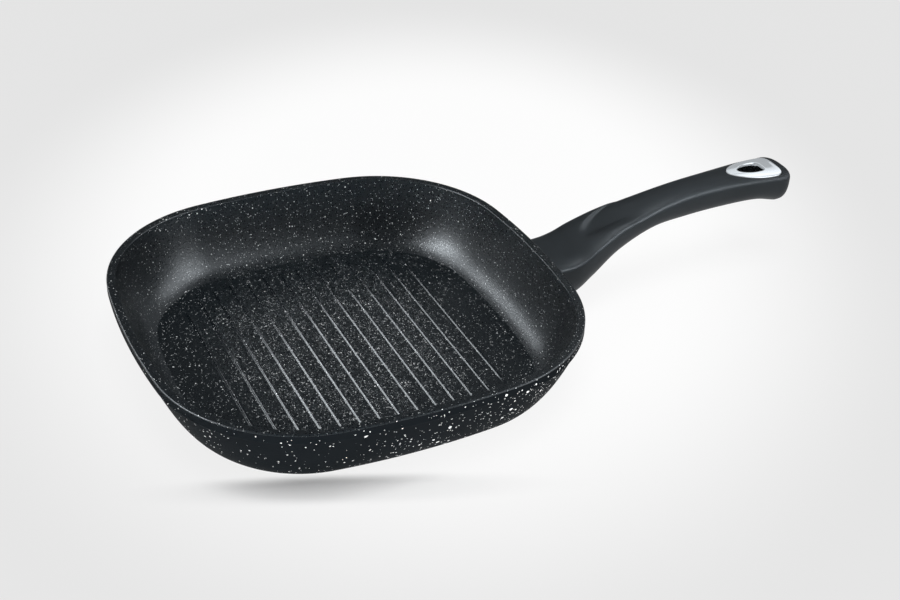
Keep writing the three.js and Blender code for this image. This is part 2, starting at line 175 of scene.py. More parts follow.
# Hang hole and its lining
TRIM_TAIL = 7  # from the handle's end
TRIM_LENGTH = 37.5
TRIM_WIDTH = 26
TRIM_BROAD = 10  # length of the squarer rear part
TRIM_PROUD = 0.29  # above the handle's top
TRIM_DEPTH = 2
TRIM_FIT = 0.3
TRIM_EDGE = 0.5
HOLE_TAIL = 18
HOLE_LENGTH = 17.5
HOLE_WIDTH = 10.5
HOLE_BROAD = 7
HOLE_FLARE = 1  # how much wider the mouth is
FLARE_DEPTH = 4
SLEEVE_WALL = 1.3
SLEEVE_LENGTH = 5.5
SHIELD_NOSE = 1.8  # power of the outlines' front half
SHIELD_REAR = 3.6  # and of the rear
SHIELD_POINTS = 144
SEAT_RINGS = 12
SEAT_HUB = 0.1  # innermost ring, in shares of the outline
SEAT_CROWN = 12  # half width of the part that follows the handle's crown
FACE_ROWS = 14
FLARE_ROWS = 9

HANDLE_END = edge_of("handle_grip", 1, 0)
LAST_REACH = STATIONS[-1, 0]
END_LENGTH = HANDLE_END - HALF_WIDTH - LAST_REACH
SLEEVE_FOOT = HEIGHT + STATIONS[-2, 2] - SLEEVE_LENGTH
BELOW = -10  # clear of the handle
ABOVE = HEIGHT + 40


def smooth(value):
    """Rises from 0 to 1 as 3 v^2 - 2 v^3."""
    value = np.clip(value, 0, 1)
    return value * value * (3 - 2 * value)


def grid_quads(rows, columns, wrap):
    """Faces of a grid of points, row after row, joined round along the columns where wrap is set."""
    row = np.arange(rows - 1)[:, None] * columns
    column = np.arange(columns if wrap else columns - 1)[None, :]
    after = (column + 1) % columns
    corners = [row + column, row + after, row + columns + after, row + columns + column]
    return np.stack(corners, axis=-1).reshape(-1, 4)


def zip_loops(outer, inner):
    """Triangles between two anticlockwise loops of complex points round the origin: each edge takes the point
    that the other loop has reached when both are followed by angle. Returns indices that count through the
    outer loop and then the inner."""
    starts, angles = [], []
    for loop in (outer, inner):
        start = int(np.argmin(np.angle(loop)))
        turned = np.unwrap(np.angle(np.roll(loop, -start)))
        starts.append(start)
        angles.append(np.append(turned, turned[0] + 2 * math.pi))
    (first, second), (alpha, beta) = starts, angles
    count, other = len(outer), len(inner)
    edge, rung = np.arange(count), np.arange(other)
    met = np.searchsorted(beta[1:], alpha[1:], side="left")
    reached = np.searchsorted(alpha[1:], beta[1:], side="right")

    def on_outer(k):
        return (k + first) % count

    def on_inner(k):
        return count + (k + second) % other

    fans = np.stack([on_outer(edge), on_outer(edge + 1), on_inner(met)], axis=1)
    steps = np.stack([on_inner(rung + 1), on_inner(rung), on_outer(reached)], axis=1)
    return np.vstack([fans, steps])


def raise_points(plan, height):
    """Complex plan points and heights as an array of x, y, z."""
    height = np.broadcast_to(height, plan.shape)
    return np.stack([plan.real, plan.imag, height], axis=-1).reshape(-1, 3)


def new_piece(name, points, *faces, sharp=SMOOTH_UP_TO):
    """A mesh object at the origin from points in millimetres and arrays of faces, smooth up to an angle."""
    mesh = bpy.data.meshes.new(name)
    mesh.from_pydata((points * MM).tolist(), [], [face for block in faces for face in block.tolist()])
    mesh.shade_smooth()
    mesh.set_sharp_from_angle(angle=math.radians(sharp))
    mesh.update()
    piece = bpy.data.objects.new(name, mesh)
    bpy.context.scene.collection.objects.link(piece)
    return piece


def bake_modifiers(piece):
    """Puts the modified shape into the piece's own mesh."""
    bpy.context.view_layer.update()
    shaped = piece.evaluated_get(bpy.context.evaluated_depsgraph_get())
    mesh = bpy.data.meshes.new_from_object(shaped)
    piece.modifiers.clear()
    piece.data = mesh
    mesh.shade_smooth()
    mesh.set_sharp_from_angle(angle=math.radians(SMOOTH_UP_TO))


def cut(piece, *cutters):
    """Cuts closed bodies out of a piece and removes them."""
    for cutter in cutters:
        step = piece.modifiers.new(cutter.name, "BOOLEAN")
        step.operation = "DIFFERENCE"
        step.solver = "EXACT"
        step.object = cutter
    bake_modifiers(piece)
    for cutter in cutters:
        bpy.data.objects.remove(cutter)


def dress(piece, node, slot, *materials):
    """The piece stands for a node of the frame, rides with the pan and takes its finishes."""
    for material in materials:
        piece.data.materials.append(material)
    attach(piece, "root")
    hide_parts(node)


# Bowl

SIDE_CENTRE = HALF_WIDTH - SIDE_RADIUS
ARC_GAP = SIDE_RADIUS - CORNER_RADIUS
CORNER_CENTRE = (SIDE_CENTRE + math.sqrt(2 * ARC_GAP**2 - SIDE_CENTRE**2)) / 2
TURN = math.atan2(CORNER_CENTRE, CORNER_CENTRE - SIDE_CENTRE)
WALL_TOP = HEIGHT - RIM_BAND - WALL_STEP


def rim_outline():
    """Complex points of the rim and their outward directions: centre plus radius times direction along a
    side arc and then a corner arc, turned four times by a right angle."""
    side = np.linspace(-TURN, TURN, SIDE_STEPS, endpoint=False)
    corner = np.linspace(TURN, math.pi / 2 - TURN, CORNER_STEPS, endpoint=False)
    out = np.exp(1j * np.concatenate([side, corner]))
    centre = np.repeat([SIDE_CENTRE + 0j, CORNER_CENTRE * (1 + 1j)], [SIDE_STEPS, CORNER_STEPS])
    radius = np.repeat([SIDE_RADIUS, CORNER_RADIUS], [SIDE_STEPS, CORNER_STEPS])
    turns = 1j ** np.arange(4)[:, None]
    return (turns * (centre + radius * out)).ravel(), (turns * out).ravel()


def reach_across(inset, x):
    """Half chord at x of a curve parallel to the rim: the side arc in the middle, then the corner arc."""
    x = np.abs(x)
    side = SIDE_CENTRE + np.sqrt((SIDE_RADIUS - inset) ** 2 - x**2)
    square = (CORNER_RADIUS - inset) ** 2 - (x - CORNER_CENTRE) ** 2
    corner = CORNER_CENTRE + np.sqrt(np.maximum(square, 0))
    return np.where(x < (SIDE_RADIUS - inset) * math.sin(TURN), side, corner)


def bowl_section():
    """Insets from the rim, heights and shares of flecks along the section. The outer wall is a power curve of
    the inset, the inner wall a straight slope plus a power curve, the step under the band half a cosine, and
    the rim's edges are quarter rounds."""
    up = np.linspace(1, 0, WALL_ROWS)
    down = up[::-1]
    fall = HEIGHT - RIM_EDGE - FLOOR_Z
    straight = CAVITY_FOOT * (FLOOR_INSET - RIM_LAND) / fall
    left = 1 - down[1:]
    turned = np.linspace(0, math.pi / 2, EDGE_STEPS)
    aside, below = RIM_EDGE * (1 - np.cos(turned)), RIM_EDGE * (1 - np.sin(turned))
    flat = RIM_EDGE + EDGE_HOLD
    step = np.linspace(0, 1, EDGE_STEPS)[1:]
    rows = [
        (
            WALL_STEP + (BASE_INSET - WALL_STEP) * up,
            BASE_Z + (WALL_TOP - BASE_Z) * (1 - up) ** WALL_SWEEP,
            0,
        ),
        (WALL_STEP * (1 + np.cos(math.pi * step)) / 2, WALL_TOP + WALL_STEP * step, 0),
        (np.zeros(2), HEIGHT - np.array([RIM_BAND - EDGE_HOLD, flat]), 0),
        (aside, HEIGHT - below, RIM_FLECKING),
        (np.array([flat, RIM_LAND - flat]), np.full(2, HEIGHT), RIM_FLECKING),
        (RIM_LAND - below, HEIGHT - aside, RIM_FLECKING),
        (
            RIM_LAND + (FLOOR_INSET - RIM_LAND) * down[1:],
            FLOOR_Z + fall * (straight * left + (1 - straight) * left**CAVITY_SWEEP),
            FOOT_FLECKING + (WALL_FLECKING - FOOT_FLECKING) * left,
        ),
    ]
    inset = np.concatenate([row[0] for row in rows])
    height = np.concatenate([row[1] for row in rows])
    fleck_share = np.concatenate([np.broadcast_to(row[2], row[0].shape) for row in rows])
    return inset, height, fleck_share


def rib_bed():
    """Grid of the ribbed part of the floor. Columns run across the pan, close together at each rib, and rows
    follow the ends of the ribs. A rib rises along straight flanks, whose bends are rounded as log(1 + exp),
    and sinks into the floor at both ends over a quarter ellipse. Returns plan, heights and the share of a
    rib's height."""
    spread = np.linspace(-1, 1, BED_COLUMNS, endpoint=False)
    offset = RIB_PITCH / 2 * ((1 - BED_CROWDING) * spread + BED_CROWDING * spread**3)
    middles = RIB_SHIFT + RIB_PITCH * (np.arange(RIB_COUNT) - (RIB_COUNT - 1) / 2)
    columns = (middles[:, None] + offset[None, :]).ravel()
    columns = np.append(columns, middles[-1] + RIB_PITCH / 2)
    away = (columns - middles[0] + RIB_PITCH / 2) % RIB_PITCH - RIB_PITCH / 2
    away[-1] = RIB_PITCH / 2
    up = RIB_BEND * (RIB_TOP + RIB_FLANK - np.abs(away)) / RIB_FLANK
    ridge = (np.logaddexp(0, up) - np.logaddexp(0, up - RIB_BEND)) / RIB_BEND
    ridge = (ridge - ridge.min()) / (ridge.max() - ridge.min())

    nearest = np.round((columns - middles[0]) / RIB_PITCH).astype(int)
    owner = middles[np.clip(nearest, 0, RIB_COUNT - 1)]
    near = -reach_across(FLOOR_INSET + RIB_MARGIN_NEAR, owner)
    far = reach_across(FLOOR_INSET + RIB_MARGIN, np.abs(owner) + RIB_PITCH / 2)
    edge = reach_across(FLOOR_INSET + BED_MARGIN, columns)
    beyond = np.linspace(0, 1, BORDER_ROWS)
    nose = np.linspace(0, 1, NOSE_ROWS + 1)[1:]
    near_end = -edge[:, None] + (near + edge)[:, None] * beyond[None, :]
    near_nose = near[:, None] + RIB_NOSE * nose[None, :] ** 2
    length = np.linspace(0, 1, RIB_ROWS + 2)[1:-1]
    middle = near_nose[:, -1:] + (far - near - 2 * RIB_NOSE)[:, None] * length[None, :]
    far_nose = far[:, None] - RIB_NOSE * nose[None, ::-1] ** 2
    far_end = far[:, None] + (edge - far)[:, None] * beyond[None, :]
    y = np.concatenate([near_end, near_nose, middle, far_nose, far_end], axis=1)
    sunk = np.clip(np.minimum(y - near[:, None], far[:, None] - y) / RIB_NOSE, 0, 1)
    share = ridge[:, None] * np.sqrt(1 - (1 - sunk) ** 2)
    return columns[:, None] + 1j * y, FLOOR_Z + RIB_HEIGHT * share, share


def cast_bowl():
    """The casting as one closed skin: rings parallel to the rim from the middle of the disc's recess, out
    over the base, up the wall, over the rim and down to the floor, where the bed of ribs is zipped in."""
    at, out = rim_outline()
    count = len(at)
    inset, height, fleck_share = bowl_section()
    wall = at[None, :] - inset[:, None] * out[None, :]
    wall_z = np.repeat(height[:, None], count, axis=1)
    round_way = wall[0] / np.abs(wall[0])
    recess_radius = (DISC_RADIUS + DISC_FIT) * np.concatenate([RECESS_ROOF, RECESS_MOUTH])
    recess_z = np.repeat([DISC_THICKNESS, BASE_Z], [len(RECESS_ROOF), len(RECESS_MOUTH)])
    recess = recess_radius[:, None] * round_way[None, :]
    skin = np.vstack([recess, wall])
    skin_z = np.vstack([np.repeat(recess_z[:, None], count, axis=1), wall_z])
    bed, bed_z, ribbed = rib_bed()

    rows = len(skin)
    first_bed = rows * count
    hub = first_bed + bed.size
    points = np.vstack(
        [raise_points(skin, skin_z), raise_points(bed, bed_z), [[0, 0, DISC_THICKNESS]]]
    )
    index = first_bed + np.arange(bed.size).reshape(bed.shape)
    border = np.concatenate([index[:, 0], index[-1, 1:], index[-2::-1, -1], index[0, -2:0:-1]])
    bed_points = bed.ravel()[border - first_bed]
    floor_ring = np.arange(count) + (rows - 1) * count
    lookup = np.concatenate([floor_ring, border])
    around = np.arange(count)
    cap = np.stack([np.full(count, hub), (around + 1) % count, around], axis=1)
    piece = new_piece(
        "cast_bowl",
        points,
        grid_quads(rows, count, True),
        first_bed + grid_quads(*bed.shape, False)[:, ::-1],
        lookup[zip_loops(wall[-1], bed_points)],
        cap,
        sharp=25,
    )
    aside = bed.real / np.abs(bed.real).max()
    along = bed.imag / np.abs(bed.imag).max(axis=1)[:, None]
    inside = smooth((1 - (aside**BED_SQUARE + along**BED_SQUARE) ** (1 / BED_SQUARE)) / BED_FADE)
    bed_flecking = FOOT_FLECKING + (1 - FOOT_FLECKING) * inside
    share = np.concatenate(
        [np.zeros(len(recess) * count), np.repeat(fleck_share, count), bed_flecking.ravel(), [0]]
    )
    crest = np.concatenate([np.zeros(first_bed), ribbed.ravel(), [0]])
    for name, values in (("fleck_share", share), ("ribbed", crest)):
        layer = piece.data.attributes.new(name, "FLOAT", "POINT")
        layer.data.foreach_set("value", values.astype(np.float32))
    # Recess, base and outer wall are painted, and the rest is coated
    painted = (len(recess) + np.count_nonzero(fleck_share == 0)) * count
    coat = np.zeros(len(piece.data.polygons), dtype=np.int32)
    coat[:painted] = coat[-count:] = 1
    piece.data.polygons.foreach_set("material_index", coat)
    return piece


# Handle

def station_curves():
    """The stations' columns along the handle: uniform Catmull-Rom curves through the stations, with the first
    and last spans carried on beyond the ends."""
    knots = np.vstack([2 * STATIONS[0] - STATIONS[1], STATIONS, 2 * STATIONS[-1] - STATIONS[-2]])
    t = np.linspace(0, 1, STATION_STEPS, endpoint=False)[None, :, None]
    a, b, c, d = (knots[k : len(knots) - 3 + k, None, :] for k in range(4))
    bend = (2 * a - 5 * b + 4 * c - d) * t**2 + (3 * b - a - 3 * c + d) * t**3
    curve = (b + ((c - a) * t + bend) / 2).reshape(-1, STATIONS.shape[1])
    return np.vstack([curve, STATIONS[-1]])


CURVES = station_curves()


def handle_size(reach):
    """Half width, shoulder height, rise above it and depth below it at a reach beyond the rim, with the
    rounded end's plan and side factors (1 - along ^ power) ^ (1 / power) beyond the last station."""
    half, top, under = (np.interp(reach, CURVES[:, 0], CURVES[:, k]) for k in (1, 2, 3))
    along = np.clip((reach - LAST_REACH) / END_LENGTH, 0, 1)
    plan = (1 - along**END_PLAN_POWER) ** (1 / END_PLAN_POWER)
    side = (1 - along**END_SIDE_POWER) ** (1 / END_SIDE_POWER)
    shoulder = top - SHOULDER
    return half * plan, HEIGHT + shoulder, SHOULDER * side, (shoulder - under) * side


def top_power(reach):
    """Power of the superellipse above the shoulder, from the stations."""
    return np.interp(reach, CURVES[:, 0], CURVES[:, 4])


def thumb_drop(reach, across):
    """Depth of the thumb rest: a step along a front that trails back with the square of the offset, which
    runs out towards the rear. On the near side the step is gentler, but not at the shoulder."""
    front = THUMB_REACH + THUMB_BEND * across**2
    fade = 1 - smooth((reach - THUMB_REACH - THUMB_RAMP) / THUMB_RUN)
    gentle = smooth(-(across + SOFT_START) / SOFT_RUN) * smooth((1 + across) / SOFT_END)
    ramp = THUMB_RAMP * (1 + THUMB_SOFT * gentle)
    return THUMB_DEPTH * smooth((reach - front) / ramp) * fade


def handle_skin(reach, angle):
    """Points of the handle's skin: superellipses above and below the shoulder, lowered by the thumb rest."""
    c, s = np.cos(angle), np.sin(angle)
    power = np.where(s > 0, 2 / top_power(reach), 2 / UNDER_POWER)
    across = np.sign(c) * np.abs(c) ** power
    half, shoulder, rise, depth = handle_size(reach)
    lift = np.where(s > 0, rise - thumb_drop(reach, across), -depth)
    return across * half, shoulder + lift * np.abs(s) ** power


def handle_top(x, y):
    """Height of the handle's top over a point of the plan: the shoulder plus the superellipse's rise."""
    half, shoulder, rise, _ = handle_size(x - HALF_WIDTH)
    power = top_power(x - HALF_WIDTH)
    across = np.clip(np.abs(y) / half, 0, 1)
    return shoulder + rise * (1 - across**power) ** (1 / power)


def wall_reach(y, z):
    """Reach of the bowl's outer wall at a point of the handle's section: the inverse of the wall's curve."""
    up = np.clip((z - BASE_Z) / (WALL_TOP - BASE_Z), 0, 1)
    inset = WALL_STEP + (BASE_INSET - WALL_STEP) * (1 - up ** (1 / WALL_SWEEP))
    return SIDE_CENTRE + np.sqrt((SIDE_RADIUS - inset + HANDLE_GAP) ** 2 - y**2) - HALF_WIDTH


def shield(tail, length, width, broad, grow):
    """Complex outline of the lining or the hole: half superellipses, drawn out ahead and squarer behind."""
    angle = np.linspace(0, 2 * math.pi, SHIELD_POINTS, endpoint=False)
    c, s = np.cos(angle), np.sin(angle)
    power = np.where(c > 0, 2 / SHIELD_REAR, 2 / SHIELD_NOSE)
    along = np.where(c > 0, broad, length - broad) + grow
    middle = HANDLE_END - tail - broad
    x = middle + np.sign(c) * np.abs(c) ** power * along
    return x + 1j * np.sign(s) * np.abs(s) ** power * (width / 2 + grow)


def trim_outline(grow):
    """Outer outline of the lining, grown by a distance."""
    return shield(TRIM_TAIL, TRIM_LENGTH, TRIM_WIDTH, TRIM_BROAD, grow)


def hole_outline(grow):
    """Outline of the hang hole, grown by a distance."""
    return shield(HOLE_TAIL, HOLE_LENGTH, HOLE_WIDTH, HOLE_BROAD, grow)


def closed_tube(name, rows, ends=None):
    """A closed body from rows of points joined round, with a fan at each end about its mean or a point."""
    count, sides = rows.shape[:2]
    ends = rows[[0, -1]].mean(axis=1) if ends is None else ends
    around = np.arange(sides)
    after = (around + 1) % sides
    last, hub = (count - 1) * sides, count * sides
    first_fan = np.stack([np.full(sides, hub), after, around], axis=1)
    last_fan = np.stack([np.full(sides, hub + 1), last + around, last + after], axis=1)
    points = np.vstack([rows.reshape(-1, 3), ends])
    return new_piece(name, points, grid_quads(count, sides, True), first_fan, last_fan)


def closed_rings(name, rings, heights):
    """The same from rings of complex points and their heights."""
    heights = np.broadcast_to(heights, rings.shape)
    return closed_tube(name, np.stack([rings.real, rings.imag, heights], axis=-1))


def upright(name, outline, low, high):
    """A straight body on an outline, from one height to another."""
    return closed_rings(name, np.vstack([outline, outline]), np.array([[low], [high]]))


def lug(name, grow):
    """Bar out of the wall in four rounded-rectangle sections, |cos| and |sin| to a power, smaller ahead."""
    angle = np.linspace(0, 2 * math.pi, LUG_POINTS, endpoint=False)
    c, s = np.cos(angle), np.sin(angle)
    y = np.sign(c) * (LUG_WIDTH / 2 * LUG_SIZES[:, None] * np.abs(c) ** LUG_SQUARE + grow)
    z = LUG_Z + np.sign(s) * (LUG_HEIGHT / 2 * LUG_SIZES[:, None] * np.abs(s) ** LUG_SQUARE + grow)
    tip = LUG_TIP + grow
    ahead = np.array([[HALF_WIDTH], [tip - LUG_NOSE], [tip]]) * np.ones(LUG_POINTS)
    x = np.vstack([HALF_WIDTH + wall_reach(y[0], z[0]) - LUG_ROOT, ahead])
    return closed_tube(name, np.stack([x, y, z], axis=-1))


def bore(name, radius, high):
    """Cutter on the screw's axis, from below up to a height."""
    angle = np.linspace(0, 2 * math.pi, BORE_SIDES, endpoint=False)
    return upright(name, SCREW_X + radius * np.exp(1j * angle), BELOW, high)


def trim_seat():
    """Cutter for the lining: its outline, a parallel of the handle's top below and open air above."""
    outline = trim_outline(TRIM_FIT)
    centre = outline.mean()
    shares = np.linspace(SEAT_HUB, 1, SEAT_RINGS)
    rings = centre + shares[:, None] * (outline - centre)[None, :]
    floor = handle_top(rings.real, np.clip(np.abs(rings.imag), 0, SEAT_CROWN)) - TRIM_DEPTH
    rings = np.vstack([rings, rings[-1:]])
    heights = np.vstack([floor, np.full((1, SHIELD_POINTS), ABOVE)])
    return closed_rings("trim_seat", rings, heights)


def handle_grip():
    """Sections of the handle carried from the bowl's wall to the rounded end, the first of them on the wall,
    with the seats, the holes and the socket cut out."""
    angle = np.linspace(0, 2 * math.pi, HANDLE_COLUMNS, endpoint=False)
    start = np.zeros(HANDLE_COLUMNS)
    for _ in range(WALL_PASSES):
        start = wall_reach(*handle_skin(start, angle))
    share = np.linspace(0, 1, HANDLE_ROWS)[:, None]
    turned = np.linspace(0, math.pi / 2, END_ROWS)[1:-1, None]
    grip = start + (LAST_REACH - start) * share
    end = LAST_REACH + END_LENGTH * np.sin(turned) ** (2 / END_PLAN_POWER) * np.ones(HANDLE_COLUMNS)
    reach = np.vstack([grip, end])
    y, z = handle_skin(reach, angle[None, :])
    rows = np.stack([HALF_WIDTH + reach, y, z], axis=-1)
    tip = [HANDLE_END, 0, handle_size(np.array(LAST_REACH + END_LENGTH))[1]]
    piece = closed_tube("handle_grip_moulding", rows, [rows[0].mean(axis=0), tip])
    seat = LUG_Z - LUG_HEIGHT / 2 - LUG_FIT - SEAT_THICKNESS
    cut(
        piece,
        trim_seat(),
        upright("sleeve_seat", hole_outline(SLEEVE_WALL + TRIM_FIT), SLEEVE_FOOT - TRIM_FIT, ABOVE),
        upright("hang_hole", hole_outline(0), BELOW, ABOVE),
        lug("socket", LUG_FIT),
        bore("shank_hole", SCREW_SHANK / 2 + SCREW_PLAY, LUG_Z),
        bore("counterbore", SCREW_HEAD / 2 + COUNTERBORE_PLAY, seat),
    )
    return piece


def handle_lug():
    """The lug with its tapped hole."""
    piece = lug("handle_lug", 0)
    cut(piece, bore("tapped_hole", SCREW_SHANK / 2 + SCREW_PLAY, SCREW_TIP + SCREW_RUNOUT))
    return piece


def hang_lining():
    """Ring of sections round the hang hole: up a quarter round at the outer edge, over a face that follows
    the handle's crown, down a flared mouth, a quarter ellipse, and the sleeve, and back under the face."""
    outer, flared = trim_outline(0), hole_outline(HOLE_FLARE)
    inner_edge = trim_outline(-TRIM_EDGE)
    rows, drops = [outer], [np.full(SHIELD_POINTS, TRIM_DEPTH)]

    def add(ring, drop):
        rows.append(ring)
        drops.append(np.full(SHIELD_POINTS, drop))

    for turned in np.linspace(0, math.pi / 2, EDGE_STEPS):
        ring = trim_outline(-TRIM_EDGE * (1 - math.cos(turned)))
        add(ring, TRIM_EDGE * (1 - math.sin(turned)) - TRIM_PROUD)
    for share in np.linspace(0, 1, FACE_ROWS + 2)[1:-1]:
        add(inner_edge + (flared - inner_edge) * share, -TRIM_PROUD)
    for turned in np.linspace(0, math.pi / 2, FLARE_ROWS):
        ring = hole_outline(HOLE_FLARE * (1 - math.sin(turned)))
        add(ring, FLARE_DEPTH * (1 - math.cos(turned)) - TRIM_PROUD)
    rings = np.array(rows)
    heights = handle_top(rings.real, rings.imag) - np.array(drops)
    sleeve_in, sleeve_out = hole_outline(0), hole_outline(SLEEVE_WALL)
    foot = np.full(SHIELD_POINTS, SLEEVE_FOOT)
    shank = np.vstack([sleeve_in, sleeve_out, sleeve_out])
    shank_z = np.vstack([foot, foot, handle_top(sleeve_out.real, sleeve_out.imag) - TRIM_DEPTH])
    rings = np.vstack([rings, shank, rings[:1]])
    heights = np.vstack([heights, shank_z, heights[:1]])
    count = len(rings) - 1
    quads = grid_quads(len(rings), SHIELD_POINTS, True) % (count * SHIELD_POINTS)
    points = raise_points(rings[:-1], heights[:-1])
    return new_piece("hang_lining", points, quads, sharp=50)


# Base disc

def punched_disc():
    """Turned disc with a chamfered edge, punched by rings of round holes. A ring has as many holes as its
    length over the pitch, rounded."""
    angle = np.linspace(0, 2 * math.pi, DISC_SIDES, endpoint=False)
    radius = DISC_RADIUS - DISC_CHAMFER * np.array([1, 0, 0, 1])
    height = np.array([0, DISC_CHAMFER, DISC_THICKNESS - DISC_CHAMFER, DISC_THICKNESS])
    disc = closed_rings("punched_disc", radius[:, None] * np.exp(1j * angle), height[:, None])
    distances = DISC_RADIUS - PUNCH_MARGIN - PUNCH_PITCH * np.arange(PUNCH_RINGS)
    counts = np.round(2 * math.pi * distances / PUNCH_PITCH).astype(int)
    place = np.arange(counts.sum()) - np.repeat(np.cumsum(counts) - counts, counts)
    centres = np.repeat(distances, counts) * np.exp(2j * math.pi * place / np.repeat(counts, counts))
    circle = PUNCH_RADIUS * np.exp(2j * math.pi * np.arange(PUNCH_SIDES) / PUNCH_SIDES)
    rings = np.repeat((centres[:, None] + circle)[:, None, :], 2, axis=1)
    heights = np.broadcast_to(np.array([[-PUNCH_PAST], [DISC_THICKNESS + PUNCH_PAST]]), rings.shape)
    first = 2 * PUNCH_SIDES * np.arange(len(centres))[:, None]
    side = np.arange(PUNCH_SIDES)
    walls = (first[:, :, None] + grid_quads(2, PUNCH_SIDES, True)[None]).reshape(-1, 4)
    lids = np.vstack([first + side[::-1], first + PUNCH_SIDES + side])
    punches = new_piece("punches", raise_points(rings, heights), walls, lids)
    cut(disc, punches)
    return disc


# Finishes: scales are cells to a metre, and the radius of a fleck is a share of its cell

FLECK_GROWTH = 0.5  # power by which flecks grow
FLECK_CORE = 0.8  # share of a fleck's radius that is solid
GRAIN_DETAIL = 3
GRAIN_SPAN = (0.3, 0.7)  # part of the noise that is spread from low to high
CLOUD_SCALE = 60

# Darkest and palest colour of each finish
COATING_COLOURS = ((0.0036, 0.0060, 0.0079), (0.0052, 0.0081, 0.0104))
PAINT_COLOURS = ((0.0056, 0.0073, 0.0087), (0.0068, 0.0087, 0.0103))
MOULDING_COLOURS = ((0.0132, 0.0158, 0.0180), (0.0158, 0.0188, 0.0212))
CHROME_COLOURS = ((0.80, 0.81, 0.82), (0.86, 0.87, 0.88))
STEEL_COLOURS = ((0.46, 0.47, 0.48), (0.56, 0.57, 0.58))
ZINC_COLOURS = ((0.40, 0.41, 0.43), (0.52, 0.53, 0.54))

MIST_GREY = (0.26, 0.29, 0.31)
MIST_SHARES = (0.08, 0.6)  # on the bare floor and in the middle of the rib bed
SPECK_WHITE = (0.86, 0.90, 0.92)
SPECK_SHARE = 0.5
SPOT_WHITE = (0.88, 0.92, 0.93)
SPOT_SHARE = 0.22
RIB_SLEEK = 0.12  # roughness that the ribs lose
RIB_IRONED = 0.8  # share of the bumps that they lose

FLAKE_PALE = (0.86, 0.87, 0.87)
FLAKE_WHITE = (0.90, 0.91, 0.91)
FLAKE_SPAN = (-0.06, 0.10)  # x over which the flakes grow more
FLAKE_SHARES = (0.18, 0.72)
FLAKE_FADE = ((HEIGHT - 3) * MM, (HEIGHT - 1.5) * MM)  # heights over which they end below the rim
FLAKE_NONE = 0.001
LARGE_SHARE = 0.3


def feed(tree, value, target):
    """Joins a socket to an input, or sets the input to a number or an opaque colour."""
    if isinstance(value, bpy.types.NodeSocket):
        tree.links.new(value, target)
    else:
        target.default_value = (*value, 1) if isinstance(value, tuple) else value


def math_node(tree, operation, *values, clamp=False):
    """A Math node on sockets or numbers; returns its result."""
    node = tree.nodes.new("ShaderNodeMath")
    node.operation = operation
    node.use_clamp = clamp
    for target, value in zip(node.inputs, values):
        feed(tree, value, target)
    return node.outputs[0]


def times(tree, first, second):
    """Product of two sockets or numbers."""
    return math_node(tree, "MULTIPLY", first, second)


def map_range(tree, value, low, high, to_low=0.0, to_high=1.0, soft=True):
    """A value carried from one range to another, with soft ends or straight."""
    node = tree.nodes.new("ShaderNodeMapRange")
    node.interpolation_type = "SMOOTHSTEP" if soft else "LINEAR"
    for target, given in zip(node.inputs, (value, low, high, to_low, to_high)):
        feed(tree, given, target)
    return node.outputs[0]


def mix_colour(tree, factor, first, second):
    """Blend of two colours by a factor, each a socket or a value."""
    node = tree.nodes.new("ShaderNodeMix")
    node.data_type = "RGBA"
    for slot, value in zip((0, 6, 7), (factor, first, second)):
        feed(tree, value, node.inputs[slot])
    return node.outputs[2]


def new_group(name, numbers, results):
    """A node group that takes a place and named numbers and gives named values; returns it with both ends."""
    group = bpy.data.node_groups.new(name, "ShaderNodeTree")
    add = group.interface.new_socket
    add(name="Vector", in_out="INPUT", socket_type="NodeSocketVector")
    for number in numbers:
        add(name=number, in_out="INPUT", socket_type="NodeSocketFloat")
    for result in results:
        add(name=result, in_out="OUTPUT", socket_type="NodeSocketFloat")
    given = group.nodes.new("NodeGroupInput")
    returned = group.nodes.new("NodeGroupOutput")
    return group, given.outputs, returned.inputs


def fleck_group():
    """Flecks scattered through a coat: each cell of a Voronoi pattern has a random number, and the cells
    below the given share hold a fleck whose radius grows as that number falls."""
    group, given, returned = new_group("stone_flecks", ("Scale", "Share", "Radius"), ("Fleck", "Tone"))
    cells = group.nodes.new("ShaderNodeTexVoronoi")
    chance = group.nodes.new("ShaderNodeSeparateColor")
    feed(group, given["Vector"], cells.inputs["Vector"])
    feed(group, given["Scale"], cells.inputs["Scale"])
    feed(group, cells.outputs["Color"], chance.inputs[0])
    spare = math_node(group, "DIVIDE", chance.outputs[0], given["Share"])
    grown = math_node(group, "SUBTRACT", 1.0, spare, clamp=True)
    radius = times(group, math_node(group, "POWER", grown, FLECK_GROWTH), given["Radius"])
    core = times(group, radius, FLECK_CORE)
    fleck = map_range(group, cells.outputs["Distance"], radius, core)
    held = math_node(group, "GREATER_THAN", grown, 0.0)
    feed(group, times(group, fleck, held), returned["Fleck"])
    feed(group, chance.outputs[1], returned["Tone"])
    return group


def grain_group():
    """Fine unevenness: noise of a given scale as a height, and spread from a low to a high value."""
    group, given, returned = new_group("fine_grain", ("Scale", "Low", "High"), ("Height", "Value"))
    noise = group.nodes.new("ShaderNodeTexNoise")
    noise.inputs["Detail"].default_value = GRAIN_DETAIL
    feed(group, given["Vector"], noise.inputs["Vector"])
    feed(group, given["Scale"], noise.inputs["Scale"])
    feed(group, noise.outputs["Fac"], returned["Height"])
    value = map_range(group, noise.outputs["Fac"], *GRAIN_SPAN, given["Low"], given["High"], soft=False)
    feed(group, value, returned["Value"])
    return group


FLECKS = fleck_group()
GRAIN = grain_group()


def new_finish(name):
    """A material with its shader and the object's own coordinates."""
    material = bpy.data.materials.new(name)
    material.use_nodes = True
    tree = material.node_tree
    shader = tree.nodes["Principled BSDF"]
    place = tree.nodes.new("ShaderNodeTexCoord").outputs["Object"]
    return material, tree, shader, place


